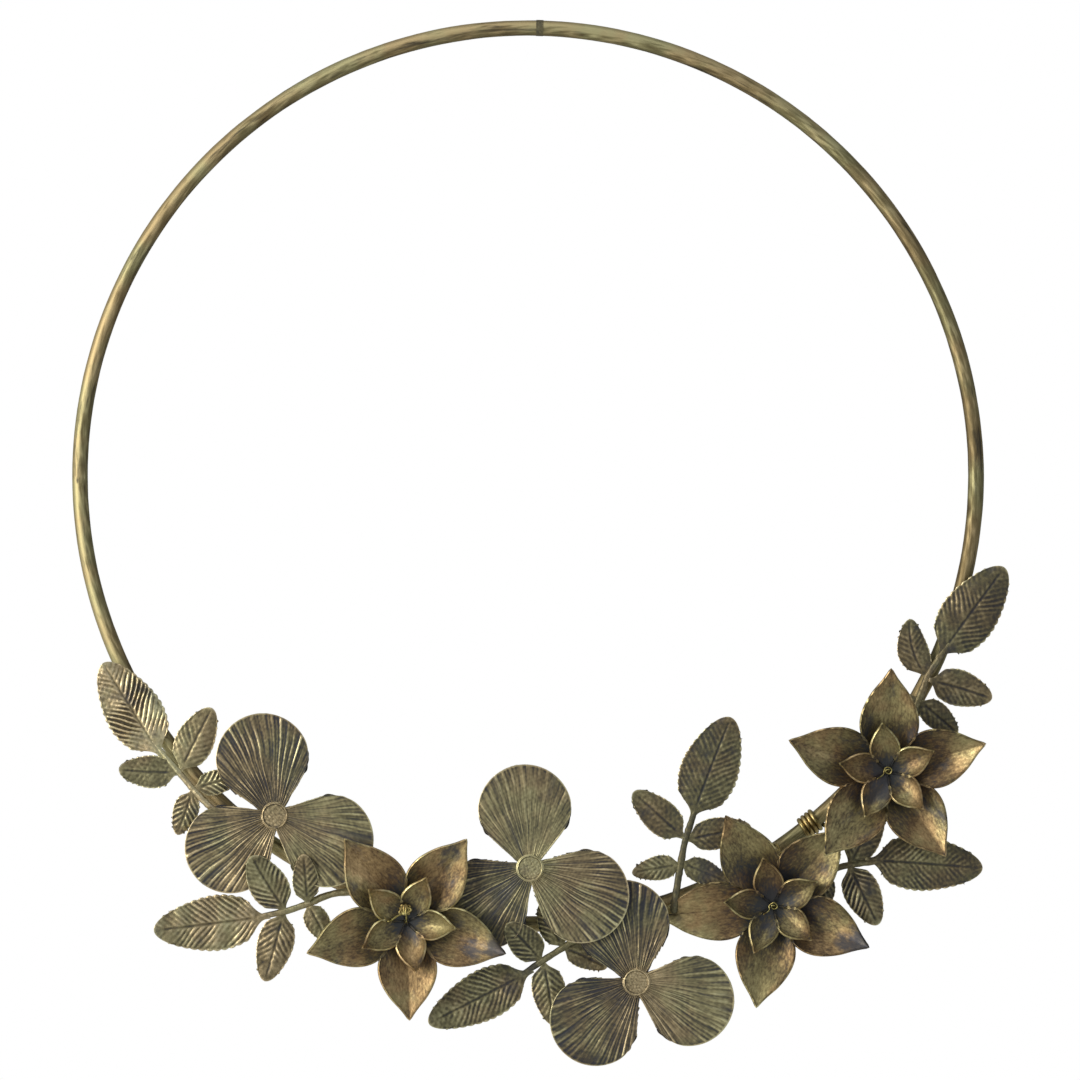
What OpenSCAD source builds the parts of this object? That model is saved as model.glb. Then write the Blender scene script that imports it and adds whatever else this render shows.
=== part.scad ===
/* [Hoop] */
// Outside diameter of the hoop
hoop_outer_d = 460; // [455:1:465]
// Outside diameter of the hoop's tube
tube_d = 8; // [7.6:0.1:8]
// Wall thickness of the hoop's tube
tube_wall = 1; // [0.8:0.1:1.5]

/* [Castings] */
// Thickness of the cast trefoil plates
plate_t = 1.6; // [1.2:0.1:2]
// Thickness of the cast leaves
leaf_t = 1.4; // [1.2:0.1:2]
// Radius of the spray stems at their lower end
stem_r = 1.9; // [1.5:0.1:2]
// Radius of the short standoff posts
post_r = 2.5; // [2:0.1:3]

/* [Flowers] */
// Thickness of the pressed petal sheets
sheet_t = 1; // [0.8:0.1:1.2]
// Radius of the bowl that the outer petals are pressed to
cup_bowl_r = 110; // [100:5:140]
// Radius of the bowl that the inner petals are pressed to
star_bowl_r = 30; // [28:1:40]
// Thickness of the wire that ties the two petal layers together
tie_d = 1.1; // [0.8:0.1:1.3]

/* [Binding] */
// Thickness of the wire wound round the hoop
binding_d = 2.2; // [1.6:0.1:2.4]
// Turns of the wire round the hoop
binding_turns = 4; // [3:1:6]

/* [Hidden] */
$fn = 48;

tube_r = tube_d / 2;
ring_r = hoop_outer_d / 2 - tube_r;
hang_drop = ring_r - tube_r;

// The hoop's joint, measured round from the right-hand side, and its inner dowel
joint_a = 88.5;
joint_gap = 0.6;
dowel_clear = 0.05;
dowel_span = 14;
weld_r = tube_r + 0.1;
weld_span = 0.9;

// Everything below is laid out facing the viewer, from the hoop's centre:
// x to the right, y up, z forwards.

// Trefoils: [x, y, height of the plate's back, petal headings, petal tilts back,
//            posts as [angle round the hoop, height of the top]]
trefoils = [
  [-127.5, -171, 8.6, [102, 216, 335], [1, 1, -1], [[233, 8.6], [241, 8.6]]],
  [1, -197, 17, [95, 218, 332], [1, 9, 2], [[264.4, 11.5], [276.4, 17]]],
  [54.5, -254.5, 13.5, [103, 223, 341], [1, 2, -1], [[280.5, 13.5], [284, 13.5]]]
];
trefoil_end_r = 23.7;
trefoil_end_at = 28.4;
trefoil_shoulder_a = 108;
trefoil_waist = 2.7;
trefoil_step = 6;
trefoil_hub_r = 7;
rivet_r = 2;
button_r = 6.6;
rib_count = 7;
rib_h = 0.5;
rib_w = 1;
rib_fan = 66;

// Flowers: [x, y, height of the cup's back, outer petals, inner heading, post]
// An outer petal is [heading, reach, how far it follows the bowl].
flowers = [
  [-61, -223.9, 13,
   [[54, 52, 1], [126, 52, 1], [197, 51.5, 0.9], [272, 49, 0.8], [343, 52, 1]],
   66, [254.7, 13.2]],
  [123.4, -216.4, 9,
   [[49, 51.5, 1], [118, 51.5, 1.1], [185, 59.5, -0.25], [260, 51.5, 0.9], [337, 51.5, 1]],
   30.5, [299.9, 11.6]],
  [180.6, -148.8, 16,
   [[16.5, 50.5, 0.9], [88.5, 51.5, 1], [162, 52, 1], [232.5, 52, 0.9], [304.5, 50.5, 0.8]],
   25.5, [320.5, 16.3]]
];
cup_valley_r = 13;
cup_bulge = 9.4;
cup_crease = 0.16;
star_reach = 24.7;
star_valley_r = 6.5;
star_bulge = 4.6;
star_crease = 0.3;
eye_r = 1.2;
petal_steps = 5;
petal_rings = [0, 0.2, 0.42, 0.65, 0.85, 1];
petal_gap = 0.4; // between neighbouring petals, on each side

// Tie wire: [x, y, height over the star's floor], looped at the front and
// passed back through the eye
tie_path = [
  [-8.6, -5.2, 5.4], [-6.4, -4, 4], [-4.2, -2.6, 3], [-3.2, -0.6, 2.4], [-3.2, 1.8, 2.2],
  [-1.6, 3.4, 2.6], [0.8, 3.8, 3], [2.8, 2.6, 3.2], [3, 0.4, 3], [1.4, -1.2, 2.6],
  [-0.8, -1, 2.8], [-2, 0.6, 3.4], [-1, 2.2, 4], [0.8, 2.2, 3.8], [1.2, 1, 2.8],
  [0.5, 0.3, 1.4], [0, 0, 0], [0, 0, -1.6], [0, 0, -3.2]
];
tie_clinch = [[1.6, 0.9, -3.9], [3.4, 1.8, -3.7]];
tie_fits = [[1, -0.6, 5.4, 1], [0.6, 0, -0.8, 0.65], [0.6, 0, 0, 0.65]]; // each tie's spread, shift right and up, and wire

// Sprays: [height of the stem's back, stem as [x, y] from its foot to the blade,
//          leaves as [x, y, height, length, heading, width, rise of the tip],
//          braze as [x, y, height, radius]]
// The first leaf of each spray is the toothed blade at the stem's tip.
sprays = [
  [4.4, [[-143, -175.5], [-148.5, -174], [-158.5, -168], [-168, -158.5], [-176.5, -148.5], [-185, -138]],
   [[-184.8, -140.8, 6, 53, 122, 27, 3], [-178, -150.5, 5.6, 28, 177, 16, 0.5],
    [-174, -149, 5.6, 34.5, 62.5, 19, 2], [-167, -157, 5.6, 24, 15, 12, 0.5],
    [-168.8, -159.3, 5.6, 22.5, 251, 12.4, 0.5]],
   [-144, -174.2, 3.6, 4]],
  [4.4, [[-83, -209.5], [-95, -210], [-103, -212], [-111, -215.5], [-123, -219.5], [-134, -221.5]],
   [[-132.5, -221.8, 6, 56.5, 187, 27, 4], [-121.5, -218.8, 6.6, 34, 121, 19, 10],
    [-122.3, -220, 5.6, 36, 254.5, 18, 1], [-111, -215, 6.6, 26, 94, 13, 9],
    [-110.5, -215.5, 5.6, 22.5, 300, 12, 0.5]],
   [-85, -209.4, 3.6, 4]],
  [4.4, [[40, -222.5], [35, -227.5], [25.5, -233], [18, -237.5], [7, -244.5], [-3.5, -251]],
   [[-2.5, -251, 6, 53.5, 207, 24.6, 4], [6, -243.8, 6.4, 28, 132, 16, 11],
    [7.6, -245, 5.6, 32.3, 279.5, 16.6, 0.5], [18, -237, 5.6, 24.5, 118, 13, 0.5],
    [18.5, -238, 5.6, 23.5, 335, 12, 0.5]],
   [38.8, -222.6, 3.6, 4]],
  [7, [[73.5, -219], [75, -207], [77, -195], [79.5, -182.5], [83, -170]],
   [[83.2, -171, 8.6, 52.5, 69, 28.4, 3], [78.6, -182.2, 8.2, 33.5, 138, 17, 0.5],
    [80, -183.5, 8.2, 33, 11, 15.6, 1], [77, -195.3, 8.2, 24.8, 190, 12, 0.5],
    [77.5, -194.8, 8.2, 25.5, 337, 12, 1]],
   [73.8, -215, 6.6, 2.2]],
  [4.4, [[131, -206.5], [137, -204], [143.5, -202], [150.5, -199.5], [161.5, -196], [173.5, -193.3]],
   [[172.5, -194, 6, 56.5, 356, 27, 3], [161.5, -196.5, 5.6, 33, 296, 18, 1],
    [161.5, -195.5, 5.6, 31, 58, 16, 2], [150.5, -200, 5.6, 22.5, 258, 12, 0.5],
    [150.5, -199, 5.6, 19, 80, 11, 0.5]],
   [133.5, -205.6, 8.4, 2.4]],
  [4.4, [[189, -128], [192.5, -122.5], [197, -112.5], [199.5, -106], [202, -99.5], [208, -89]],
   [[208, -90, 6, 55, 54, 27.4, 3], [201, -100, 5.6, 29.5, 108, 15.4, 1],
    [201.3, -103.3, 5.6, 33, 343.5, 18, 1], [197, -113.6, 5.6, 25, 319, 13, 0.5],
    [196.5, -112.5, 5.6, 19, 200, 11, 0.5]],
   [194.5, -118, 3.6, 4]]
];
stem_h = 2.8;
stem_tip_r = 1.5;
leaf_rows = 10;
blade_teeth = 9;
tooth = 0.07;
leaf_tip_w = 0.4;
midrib_w = 2.2;
midrib_h = 0.5;
midrib_share = 0.9;

// Binding wire
binding_a = 309.1;
binding_steps = 14;
tail_a = 303.6;
tail_lead = [[0.4, 2.2, 3.2], [0.8, 3.2, 6], [1.2, 3.4, 9.5], [1.5, 2.6, 12.4], [1.5, 0.8, 13.8]];
tail_curl = [1.3, -1.5, 14.4]; // radius, middle along the hoop's radius, and height
tail_rise = 1;

brass = "#8a7a4a";
dark_brass = "#5f5438";
olive_brass = "#6f6840";
steel = "#77756c";
wire_brass = "#94834e";

function unit(v) = v / norm(v);
function on_hoop(a) = [ring_r * cos(a), ring_r * sin(a), 0];
function bowl(r, bowl_r) = bowl_r - sqrt(bowl_r * bowl_r - r * r);
function star_z(k) = flowers[k][2] + sheet_t;

// Turns the flat layout upright, with the hanging point at the origin
module face_on() {
  translate([0, 0, -hang_drop]) rotate([90, 0, 0]) children();
}

module hoop_ring(r) {
  rotate_extrude($fn = 180) translate([ring_r, 0]) circle(r);
}

// A length of the hoop, centred on an angle
module hoop_arc(r, a, span) {
  rotate([0, 0, a - span / 2]) rotate_extrude(angle = span, $fn = 180) translate([ring_r, 0]) circle(r);
}

module hoop_tube() {
  gap_a = joint_gap / ring_r * 180 / PI;
  color(brass) face_on() rotate([0, 0, joint_a + gap_a / 2])
    rotate_extrude(angle = 360 - gap_a, $fn = 180) translate([ring_r, 0]) difference() {
      circle(tube_r);
      circle(tube_r - tube_wall);
    }
}

module hoop_dowel() {
  color(steel) face_on() hoop_arc(tube_r - tube_wall - dowel_clear, joint_a, dowel_span);
}

// The bead that fills the gap between the tube's ends
module hoop_weld() {
  gap_a = joint_gap / ring_r * 180 / PI;
  color(dark_brass) face_on() {
    difference() {
      hoop_arc(weld_r, joint_a, weld_span);
      hoop_arc(tube_r, joint_a, weld_span * 2);
    }
    difference() {
      hoop_arc(tube_r, joint_a, gap_a);
      hoop_arc(tube_r - tube_wall, joint_a, gap_a * 2);
    }
  }
}

// A petal's outline along x: a round end, and straight sides that run in to
// the waist at the hub
function trefoil_outline() = concat(
  [[0, trefoil_waist], [0, -trefoil_waist]],
  [for (a = [-trefoil_shoulder_a : trefoil_step : trefoil_shoulder_a])
    [trefoil_end_at + trefoil_end_r * cos(a), trefoil_end_r * sin(a)]]
);

// One fan-shaped petal along x, flat, with raised ribs
module trefoil_petal() {
  linear_extrude(plate_t) polygon(trefoil_outline());
  for (i = [0 : rib_count - 1]) {
    a = rib_fan * (i / (rib_count - 1) - 0.5);
    reach = trefoil_end_at * cos(a) + sqrt(pow(trefoil_end_r, 2) - pow(trefoil_end_at * sin(a), 2));
    rotate([0, 0, a]) translate([trefoil_hub_r - 1, -rib_w / 2, plate_t / 2])
      cube([reach - trefoil_hub_r - 1, rib_w, plate_t / 2 + rib_h]);
  }
}

module trefoil(k) {
  t = trefoils[k];
  color(olive_brass) face_on() translate([t[0], t[1], t[2]]) difference() {
    union() {
      cylinder(r = trefoil_hub_r, h = plate_t + rib_h);
      for (i = [0 : 2]) rotate([0, 0, t[3][i]]) rotate([0, t[4][i], 0]) trefoil_petal();
    }
    translate([0, 0, -5]) cylinder(r = rivet_r, h = 20);
  }
}

// Round centre with a raised rim, riveted through the hub
module trefoil_button(k) {
  t = trefoils[k];
  top = plate_t + rib_h;
  color(brass) face_on() translate([t[0], t[1], t[2]]) rotate_extrude() polygon([
    [0, -1], [3, -1], [3.4, -0.6], [3.4, 0], [rivet_r, 0], [rivet_r, top],
    [button_r, top], [button_r, top + 1.1], [button_r - 0.6, top + 1.5],
    [button_r - 1.3, top + 1.1], [button_r - 1.3, top + 0.7], [0, top + 0.9]
  ]);
}

// Short rods between the hoop and the backs of the petals
module posts(list) {
  color(steel) face_on() difference() {
    for (p = list) translate(on_hoop(p[0])) translate([0, 0, 1]) cylinder(r = post_r, h = p[1] - 1);
    hoop_ring(tube_r);
  }
}

// Half outline of one petal, from the valley beside it to its tip:
// [distance out, distance sideways], kept clear of the next petal past the valley
function petal_edge(valley_r, half_a, reach, bulge, t) = let(
  d0 = valley_r * cos(half_a),
  w0 = valley_r * sin(half_a),
  d = d0 + (reach - d0) * t,
  room = d * tan(half_a) - (t > 0 ? petal_gap : 0)
) [d, min(room, w0 * (1 - t) + bulge * sin(180 * pow(t, 0.8)))];

// The whole outline of a petal sheet: [x, y, sideways distance, bowl share]
function sheet_outline(petals, valley_r, bulge) = let(n = len(petals)) [
  for (k = [0 : n - 1]) let(
    p = petals[k],
    before = petals[(k + n - 1) % n],
    after = petals[(k + 1) % n],
    half_before = (p[0] - before[0] + (k == 0 ? 360 : 0)) / 2,
    half_after = (after[0] - p[0] + (k == n - 1 ? 360 : 0)) / 2
  )
    for (i = [-petal_steps : petal_steps - 1]) let(
      t = 1 - abs(i) / petal_steps,
      half_a = i < 0 ? half_before : half_after,
      other = i < 0 ? before : after,
      e = petal_edge(valley_r, half_a, p[1], bulge, t),
      side = i < 0 ? -e[1] : e[1],
      share = (p[2] + other[2]) / 2 * (1 - t) + p[2] * t
    ) [
      e[0] * cos(p[0]) - side * sin(p[0]),
      e[0] * sin(p[0]) + side * cos(p[0]),
      e[1], share
    ]
];

// A pressed sheet of petals with a round eye: rings of points from the eye to
// the outline, back and front
module petal_sheet(petals, valley_r, bulge, bowl_r, crease) {
  edge = sheet_outline(petals, valley_r, bulge);
  n = len(edge);
  m = len(petal_rings);
  points = [
    for (lift = [0, sheet_t], f = petal_rings, e = edge) let(
      a = atan2(e[1], e[0]),
      x = eye_r * cos(a) * (1 - f) + e[0] * f,
      y = eye_r * sin(a) * (1 - f) + e[1] * f
    ) [x, y, lift + e[3] * bowl(norm([x, y]), bowl_r) + crease * e[2] * f * f]
  ];
  faces = [
    for (j = [0 : m - 2], i = [0 : n - 1]) let(
      a = j * n + i,
      b = j * n + (i + 1) % n
    )
      each [[a, a + n, b + n, b], [a + m * n, b + m * n, b + n + m * n, a + n + m * n]],
    for (i = [0 : n - 1]) let(
      b = (i + 1) % n,
      o = (m - 1) * n
    )
      each [[i, b, b + m * n, i + m * n], [o + i, o + i + m * n, o + b + m * n, o + b]]
  ];
  polyhedron(points, faces);
}

module flower_cup(k) {
  f = flowers[k];
  color(dark_brass) face_on() translate([f[0], f[1], f[2]])
    petal_sheet(f[3], cup_valley_r, cup_bulge, cup_bowl_r, cup_crease);
}

module flower_star(k) {
  f = flowers[k];
  petals = [for (i = [0 : 4]) [f[4] + 72 * i, star_reach, 1]];
  color(brass) face_on() translate([f[0], f[1], star_z(k)])
    petal_sheet(petals, star_valley_r, star_bulge, star_bowl_r, star_crease);
}

// Carries a sideways direction along a path without twisting it
function carried(t, n, i = 0) = i >= len(t) ? [] : let(
  m = unit(n - (n * t[i]) * t[i])
) concat([m], carried(t, m, i + 1));

// Round wire along a list of points
module wire(path, r, sides = 8) {
  n = len(path);
  along = [for (i = [0 : n - 1]) unit(path[min(i + 1, n - 1)] - path[max(i - 1, 0)])];
  start = abs(along[0][2]) < 0.8 ? [0, 0, 1] : [1, 0, 0];
  across = carried(along, start);
  points = [
    for (i = [0 : n - 1], j = [0 : sides - 1])
      path[i] + r * (cos(360 * j / sides) * across[i] + sin(360 * j / sides) * cross(along[i], across[i]))
  ];
  faces = [
    [for (j = [0 : sides - 1]) j],
    [for (j = [0 : sides - 1]) (n - 1) * sides + sides - 1 - j],
    for (i = [0 : n - 2], j = [0 : sides - 1]) let(
      a = i * sides + j,
      b = i * sides + (j + 1) % sides
    ) [a, a + sides, b + sides, b]
  ];
  polyhedron(points, faces);
}

// The loops of a tie can stand beside the eye that its end goes through
function tie_stop(p, fit) = let(lift = max(0, min(1, p[2] / 1.4))) [
  p[0] * fit[0] + fit[1] * lift,
  p[1] * fit[0] + fit[2] * lift,
  p[2]
];

module flower_tie(k) {
  f = flowers[k];
  color(wire_brass) face_on() translate([f[0], f[1], star_z(k) + sheet_t])
    wire([for (p = concat(tie_path, tie_clinch)) tie_stop(p, tie_fits[k])], tie_d / 2 * tie_fits[k][3]);
}

// Half width of a leaf, as a share of its greatest, from base to tip
function leaf_share(t) = pow(max(0, sin(180 * pow(t, 0.95))), t < 0.4 ? 0.85 : 1.09 - 0.6 * t);

// One side of a leaf's outline, toothed where asked, from base to tip
function leaf_side(length, width, teeth) = let(rows = teeth > 0 ? teeth * 2 : leaf_rows) [
  for (i = [0 : rows]) let(
    t = i / rows,
    notch = teeth > 0 && i % 2 == 0 ? 1 - tooth : 1
  ) [length * t, max(leaf_tip_w, width / 2 * leaf_share(t) * notch)]
];

function turned_back(side) = [for (i = [len(side) - 1 : -1 : 0]) [side[i][0], -side[i][1]]];

// A flat leaf along x with its midrib raised
module leaf(length, width, teeth = 0) {
  side = leaf_side(length, width, teeth);
  translate([0, 0, -leaf_t / 2]) linear_extrude(leaf_t) polygon(concat(side, turned_back(side)));
  translate([0, 0, -leaf_t / 4]) linear_extrude(leaf_t * 0.75 + midrib_h) polygon([
    [-1, -midrib_w / 2], [length * midrib_share, -0.3], [length * midrib_share, 0.3], [-1, midrib_w / 2]
  ]);
}

module place_leaf(l) {
  translate([l[0], l[1], l[2]]) rotate([0, 0, l[4]]) rotate([0, -asin(l[6] / l[3]), 0]) children();
}

// The stem's outline, tapering from its foot to the blade
function stem_side(stem, way) = let(n = len(stem)) [
  for (i = [0 : n - 1]) let(
    along = unit(stem[min(i + 1, n - 1)] - stem[max(i - 1, 0)]),
    r = stem_r + (stem_tip_r - stem_r) * i / (n - 1)
  ) stem[i] + way * r * [-along[1], along[0]]
];

// A cast spray: stem, midribs and leaves in one piece
module spray(k) {
  s = sprays[k];
  left = stem_side(s[1], 1);
  right = stem_side(s[1], -1);
  color(olive_brass) face_on() {
    translate([0, 0, s[0]]) linear_extrude(stem_h)
      polygon(concat(left, [for (i = [len(right) - 1 : -1 : 0]) right[i]]));
    for (i = [0 : len(s[2]) - 1]) {
      l = s[2][i];
      place_leaf(l) leaf(l[3], l[5], i == 0 ? blade_teeth : 0);
    }
  }
}

// A bead of braze where a stem meets what is behind it
module stem_braze(k) {
  b = sprays[k][3];
  color(brass) face_on() difference() {
    translate([b[0], b[1], b[2]]) sphere(b[3]);
    hoop_ring(tube_r);
  }
}

// A point on a helix wound round the hoop's tube
function coil_point(i) = let(
  wind = 360 * i / binding_steps,
  a = binding_a + (i / binding_steps - binding_turns / 2) * binding_d * 1.08 / ring_r * 180 / PI,
  out = ring_r + (tube_r + binding_d / 2) * cos(wind)
) [out * cos(a), out * sin(a), (tube_r + binding_d / 2) * sin(wind)];

module binding_coil() {
  color(wire_brass) face_on()
    wire([for (i = [0 : binding_steps * binding_turns]) coil_point(i)], binding_d / 2);
}

// The wire's free end, curled into a small ring in front of the hoop
module binding_tail() {
  curl = [
    for (i = [0 : 10]) let(a = 30 + 30 * i)
      [tail_curl[0] * cos(a), tail_curl[1] + tail_curl[0] * sin(a), tail_curl[2] + tail_rise * i / 10]
  ];
  color(wire_brass) face_on() translate(on_hoop(tail_a)) rotate([0, 0, tail_a - 270])
    wire(concat(tail_lead, curl), tie_d / 2);
}

module trefoil_left() { trefoil(0); }
module trefoil_middle() { trefoil(1); }
module trefoil_right() { trefoil(2); }
module trefoil_left_button() { trefoil_button(0); }
module trefoil_middle_button() { trefoil_button(1); }
module trefoil_right_button() { trefoil_button(2); }
module trefoil_left_posts() { posts(trefoils[0][5]); }
module trefoil_middle_posts() { posts(trefoils[1][5]); }
module trefoil_right_posts() { posts(trefoils[2][5]); }
module flower_left_cup() { flower_cup(0); }
module flower_middle_cup() { flower_cup(1); }
module flower_right_cup() { flower_cup(2); }
module flower_left_star() { flower_star(0); }
module flower_middle_star() { flower_star(1); }
module flower_right_star() { flower_star(2); }
module flower_left_tie() { flower_tie(0); }
module flower_middle_tie() { flower_tie(1); }
module flower_right_tie() { flower_tie(2); }
module flower_left_post() { posts([flowers[0][5]]); }
module flower_middle_post() { posts([flowers[1][5]]); }
module flower_right_post() { posts([flowers[2][5]]); }
module spray_far_left() { spray(0); }
module spray_left() { spray(1); }
module spray_low() { spray(2); }
module spray_middle() { spray(3); }
module spray_right() { spray(4); }
module spray_far_right() { spray(5); }
module spray_far_left_braze() { stem_braze(0); }
module spray_left_braze() { stem_braze(1); }
module spray_low_braze() { stem_braze(2); }
module spray_middle_braze() { stem_braze(3); }
module spray_right_braze() { stem_braze(4); }
module spray_far_right_braze() { stem_braze(5); }

hoop_tube();
hoop_dowel();
hoop_weld();
trefoil_left();
trefoil_middle();
trefoil_right();
trefoil_left_button();
trefoil_middle_button();
trefoil_right_button();
trefoil_left_posts();
trefoil_middle_posts();
trefoil_right_posts();
flower_left_cup();
flower_middle_cup();
flower_right_cup();
flower_left_star();
flower_middle_star();
flower_right_star();
flower_left_tie();
flower_middle_tie();
flower_right_tie();
flower_left_post();
flower_middle_post();
flower_right_post();
spray_far_left();
spray_left();
spray_low();
spray_middle();
spray_right();
spray_far_right();
spray_far_left_braze();
spray_left_braze();
spray_low_braze();
spray_middle_braze();
spray_right_braze();
spray_far_right_braze();
binding_coil();
binding_tail();
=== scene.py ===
import math

import bpy
import numpy as np
from mathutils import Matrix, Vector


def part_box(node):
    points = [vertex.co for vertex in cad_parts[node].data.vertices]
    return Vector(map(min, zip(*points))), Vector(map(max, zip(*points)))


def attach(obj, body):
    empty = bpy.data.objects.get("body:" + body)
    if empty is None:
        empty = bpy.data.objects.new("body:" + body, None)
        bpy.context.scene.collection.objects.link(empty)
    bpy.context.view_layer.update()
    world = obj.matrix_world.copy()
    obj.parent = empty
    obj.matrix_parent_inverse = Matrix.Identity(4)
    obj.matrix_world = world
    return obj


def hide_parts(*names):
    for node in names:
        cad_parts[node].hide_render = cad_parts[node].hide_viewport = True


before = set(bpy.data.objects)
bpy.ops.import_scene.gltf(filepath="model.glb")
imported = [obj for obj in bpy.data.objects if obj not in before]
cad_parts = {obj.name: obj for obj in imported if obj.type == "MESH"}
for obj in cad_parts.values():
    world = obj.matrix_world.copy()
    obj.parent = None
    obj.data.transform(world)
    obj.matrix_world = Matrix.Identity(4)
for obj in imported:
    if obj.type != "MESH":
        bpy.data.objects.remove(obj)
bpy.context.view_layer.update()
print("frame loaded:", len(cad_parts), "parts")

# The hoop's own box gives the middle of the ring and the tube's size, in metres
hoopLow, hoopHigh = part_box("hoop_tube")
ringMiddle = (hoopLow + hoopHigh) / 2
tubeR = (hoopHigh.y - hoopLow.y) / 2 * 1000
ringR = (hoopHigh.x - hoopLow.x) / 2 * 1000 - tubeR

# Layout is drawn facing the viewer in millimetres from the middle of the ring:
# x right, y up, z forwards. This turns it upright in metres.
faceOn = Matrix.Translation(ringMiddle) @ Matrix.Rotation(math.pi / 2, 4, "X") @ Matrix.Scale(0.001, 4)


def smooth(low, high, x):
    t = np.clip((x - low) / (high - low), 0, 1)
    return t * t * (3 - 2 * t)


def lumps(points, seed, size, waves=10):
    # soft unevenness of about one millimetre high, with bumps of the given size
    draw = np.random.default_rng(seed)
    total = np.zeros(len(points))
    for _ in range(waves):
        way = draw.normal(size=3)
        way *= 2 * math.pi / size / np.linalg.norm(way) * draw.uniform(0.6, 1.5)
        total += np.sin(points @ way + draw.uniform(0, 2 * math.pi))
    return total / math.sqrt(waves)


def deselect():
    if bpy.context.mode != "OBJECT":
        bpy.ops.object.mode_set(mode="OBJECT")
    bpy.ops.object.select_all(action="DESELECT")


def pick(piece):
    deselect()
    piece.select_set(True)
    bpy.context.view_layer.objects.active = piece


def getPoints(piece):
    points = np.zeros(len(piece.data.vertices) * 3)
    piece.data.vertices.foreach_get("co", points)
    return points.reshape(-1, 3)


def setPoints(piece, points):
    piece.data.vertices.foreach_set("co", np.asarray(points, float).ravel())
    piece.data.update()


def shapedGrid(name, columns, rows, shape):
    # a flat grid, each corner of it then moved by a rule; both ways run from 0 to 1
    deselect()
    bpy.ops.mesh.primitive_grid_add(x_subdivisions=columns, y_subdivisions=rows, size=2)
    piece = bpy.context.active_object
    piece.name = name
    points = getPoints(piece)
    setPoints(piece, shape((points[:, 0] + 1) / 2, (points[:, 1] + 1) / 2))
    return piece


def closeSeams(piece, reach, solid=True):
    pick(piece)
    bpy.ops.object.mode_set(mode="EDIT")
    bpy.ops.mesh.select_all(action="SELECT")
    bpy.ops.mesh.remove_doubles(threshold=reach)
    if solid:
        bpy.ops.mesh.normals_make_consistent(inside=False)
    bpy.ops.object.mode_set(mode="OBJECT")


def applied(piece, kind, **settings):
    pick(piece)
    change = piece.modifiers.new(kind.title(), kind)
    for key, value in settings.items():
        setattr(change, key, value)
    bpy.ops.object.modifier_apply(modifier=change.name)


def thicken(piece, thickness, edge):
    # the drawn face stays in front and the wall grows backwards
    applied(piece, "SOLIDIFY", thickness=thickness, offset=-1, use_even_offset=False)
    applied(piece, "BEVEL", width=edge, segments=2, limit_method="ANGLE", angle_limit=math.radians(50))


def joined(pieces, name):
    deselect()
    for piece in pieces:
        piece.select_set(True)
    bpy.context.view_layer.objects.active = pieces[0]
    if len(pieces) > 1:
        bpy.ops.object.join()
    pieces[0].name = name
    pieces[0].data.name = name
    return pieces[0]


# Rounds of smoothing that the relief is measured against, and how much of itself each
# point keeps in one round
reliefBuild = {"fewest": 3, "most": 60, "keep": 0.4}


def markRelief(piece, reach):
    # how far each point stands above the surface around it, in millimetres: this tells
    # the finish what polishing rubs bright and where the dark patina stays
    mesh = piece.data
    points = getPoints(piece)
    edges = np.zeros(len(mesh.edges) * 2, int)
    mesh.edges.foreach_get("vertices", edges)
    a, b = edges[::2], edges[1::2]
    count = np.bincount(edges, minlength=len(points)).astype(float)[:, None]
    count[count == 0] = 1
    length = np.linalg.norm(points[a] - points[b], axis=1).mean()
    rounds = int(min(reliefBuild["most"], max(reliefBuild["fewest"], 2 * (reach / length) ** 2)))
    keep = reliefBuild["keep"]
    soft = points.copy()
    for _ in range(rounds):
        around = np.zeros_like(soft)
        np.add.at(around, a, soft[b])
        np.add.at(around, b, soft[a])
        soft = soft * keep + around / count * (1 - keep)
    normals = np.zeros(len(points) * 3)
    mesh.vertices.foreach_get("normal", normals)
    height = ((points - soft) * normals.reshape(-1, 3)).sum(1)
    mark = mesh.attributes.new("relief", "FLOAT", "POINT")
    mark.data.foreach_set("value", height)


def markPolishAndShade(piece, amount):
    # more polish reads brighter, less keeps the patina; on the hoop's right side and on the flower cups under
    # the stars it is lowered further as painted shade; one number or one for each point
    values = np.zeros(len(piece.data.vertices)) + amount
    mark = piece.data.attributes.get("polishAndShade") or piece.data.attributes.new("polishAndShade", "FLOAT", "POINT")
    mark.data.foreach_set("value", values)


def markFlow(piece, along):
    # where each point lies for the fine marks of rubbing and drawing: the way that they run
    # is shortened, so the marks come out long
    mark = piece.data.attributes.get("flow") or piece.data.attributes.new("flow", "FLOAT_VECTOR", "POINT")
    mark.data.foreach_set("vector", (along / 1000).ravel())


def finished(piece, node, material, reach=1.2):
    markRelief(piece, reach)
    if not piece.data.attributes.get("polishAndShade"):
        markPolishAndShade(piece, 0.0)
    piece.data.transform(faceOn)
    piece.data.materials.clear()
    piece.data.materials.append(material)
    pick(piece)
    bpy.ops.object.shade_smooth()
    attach(piece, "root")
    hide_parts(node)
    return piece


def curveThrough(stops, count, perSpan=24):
    # a smooth line through the stops, evenly spaced
    stops = np.array(stops, float)
    ends = np.vstack([2 * stops[0] - stops[1], stops, 2 * stops[-1] - stops[-2]])
    line = []
    for i in range(len(stops) - 1):
        p0, p1, p2, p3 = ends[i:i + 4]
        for t in np.linspace(0, 1, perSpan, endpoint=False):
            line.append(0.5 * (2 * p1 + (p2 - p0) * t + (2 * p0 - 5 * p1 + 4 * p2 - p3) * t ** 2
                               + (3 * p1 - p0 - 3 * p2 + p3) * t ** 3))
    line.append(stops[-1])
    line = np.array(line)
    along = np.concatenate([[0], np.cumsum(np.linalg.norm(np.diff(line, axis=0), axis=1))])
    even = np.linspace(0, along[-1], count)
    return np.stack([np.interp(even, along, line[:, k]) for k in range(3)], axis=1)


rodBuild = {"capRings": 5, "capLength": 0.8, "bumpSize": 3.5, "seam": 0.004}


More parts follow.
